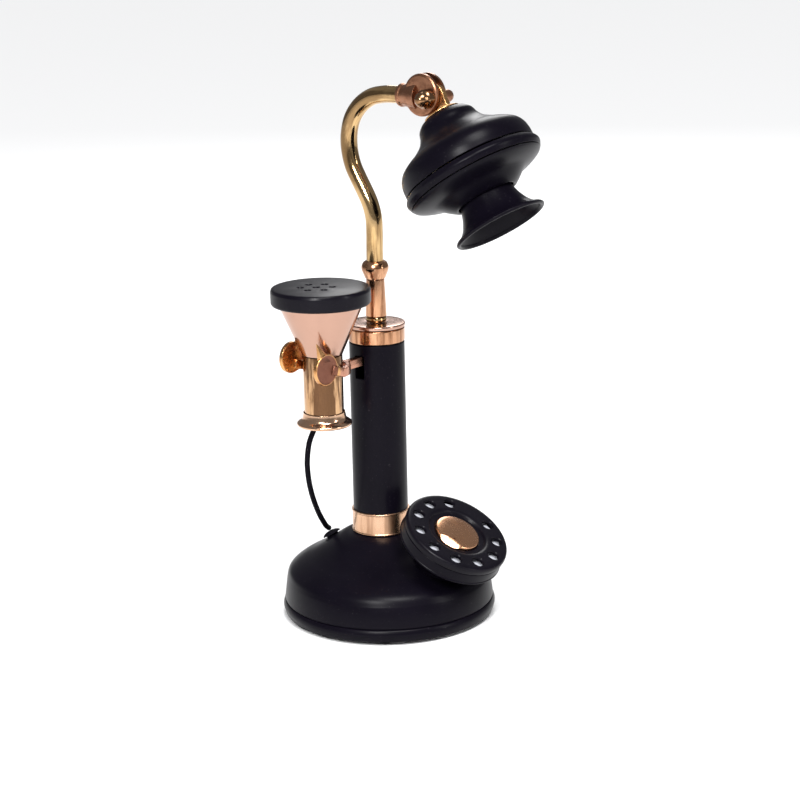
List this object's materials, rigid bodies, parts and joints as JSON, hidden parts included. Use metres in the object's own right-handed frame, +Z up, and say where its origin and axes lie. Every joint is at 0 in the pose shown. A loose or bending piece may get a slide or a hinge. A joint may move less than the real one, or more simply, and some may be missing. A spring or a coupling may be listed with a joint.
{
  "type": "candlestick telephone",
  "caption": "Corded upright telephone with a round weighted base, a tilting mouthpiece on a gooseneck, a rotary dial, and a bell receiver on a sprung fork hook.",
  "frame": {"origin": "centre of the round base, on the surface that its feet stand on", "axes": "+Z up, the dial and the mouthpiece face -Y, the receiver hangs at -X"},
  "size_m": [0.1046, 0.1284, 0.2412],
  "materials": {
    "black_enamel": "satin black stoving enamel",
    "black_plastic": "moulded black",
    "rubber": "moulded black",
    "rose_gold": "polished rose-gold plate",
    "copper": "brushed copper plate",
    "antique_copper": "antique copper, brushed and dulled",
    "brass": "polished brass",
    "steel": "zinc-plated",
    "iron": "as cast",
    "card": "printed card, light grey",
    "board": "solder-masked board"
  },
  "bodies": {
    "stand": {"base_shell": "black_enamel", "base_plate": "steel", "rubber_foot_1": "rubber", "rubber_foot_2": "rubber", "rubber_foot_3": "rubber", "rubber_foot_4": "rubber", "base_screw_1": "steel", "base_screw_2": "steel", "base_weight": "iron", "circuit_board": "board", "ringer_sounder": "black_plastic", "line_jack": "black_plastic", "cord_grommet": "rubber", "column_plug": "steel", "column_nut": "steel", "lower_collar": "copper", "column_tube": "black_enamel", "cap_band": "rose_gold", "cap_disc": "rose_gold", "stem_nut": "steel", "stem_boss": "brass", "stem_cone": "rose_gold", "stem_bead": "rose_gold", "gooseneck_tube": "brass", "neck_clevis": "antique_copper", "pivot_bolt": "antique_copper", "acorn_nut": "antique_copper", "hook_pivot_pin": "steel", "switch_bracket": "steel", "hook_spring": "steel", "hook_switch": "black_plastic", "dial_housing": "black_enamel", "number_plate": "card", "dial_mount": "black_enamel", "dial_return_spring": "steel", "pulse_contacts": "black_plastic", "receiver_cord": "rubber"},
    "transmitter": {"transmitter_lug": "antique_copper", "transmitter_back_shell": "black_enamel", "transmitter_face_ring": "black_enamel", "transmitter_faceplate": "black_enamel", "mouthpiece_horn": "black_enamel", "mouthpiece_grille": "black_plastic", "microphone_diaphragm": "steel", "microphone_capsule": "brass", "capsule_bridge": "brass"},
    "receiver": {"receiver_tube": "rose_gold", "receiver_cone": "rose_gold", "ear_cap": "black_plastic", "receiver_diaphragm": "steel", "receiver_capsule": "steel", "receiver_end_flange": "rose_gold", "cord_bush": "rubber"},
    "hook": {"hook_fork": "antique_copper"},
    "plunger": {"switch_plunger": "black_plastic"},
    "dial": {"finger_wheel": "black_enamel", "dial_centre_cap": "copper", "dial_shaft": "steel", "dial_gear": "brass"},
    "governor": {"governor": "brass"}
  },
  "joints": [
    {"name": "transmitter_tilt", "type": "hinge", "parent": "stand", "child": "transmitter", "pos_m": [0, -0.0304, 0.2311], "axis": [1, 0, 0], "range_deg": [-55, 12]},
    {"name": "receiver_lift", "type": "slide", "parent": "stand", "child": "receiver", "axis": [-0.7431, 0, 0.6691], "range_m": [0, 0.06]},
    {"name": "hook_lever", "type": "hinge", "parent": "stand", "child": "hook", "pos_m": [0.002, 0.0038, 0.1166], "axis": [0, 1, 0], "range_deg": [-7.5, 0], "stiffness_Nm_per_rad": 0.3, "springref_deg": 5.73, "deforming": ["hook_spring"]},
    {"name": "plunger_travel", "type": "slide", "parent": "stand", "child": "plunger", "axis": [0, 0, 1], "range_m": [0, 0.0006]},
    {"name": "dial_turn", "type": "hinge", "parent": "stand", "child": "dial", "pos_m": [0, -0.0399, 0.044], "axis": [0, -0.509, 0.8607], "range_deg": [-300, 0], "stiffness_Nm_per_rad": 0.003, "springref_deg": 28.65},
    {"name": "governor_spin", "type": "hinge", "parent": "stand", "child": "governor", "pos_m": [0.012, -0.0399, 0.044], "axis": [0, -0.509, 0.8607], "range_deg": [0, 900]}
  ],
  "couplings": [
    {"joint": "governor_spin", "follows": "dial_turn", "ratio": -3},
    {"joint": "plunger_travel", "follows": "hook_lever", "m_per_rad": -0.004}
  ]
}
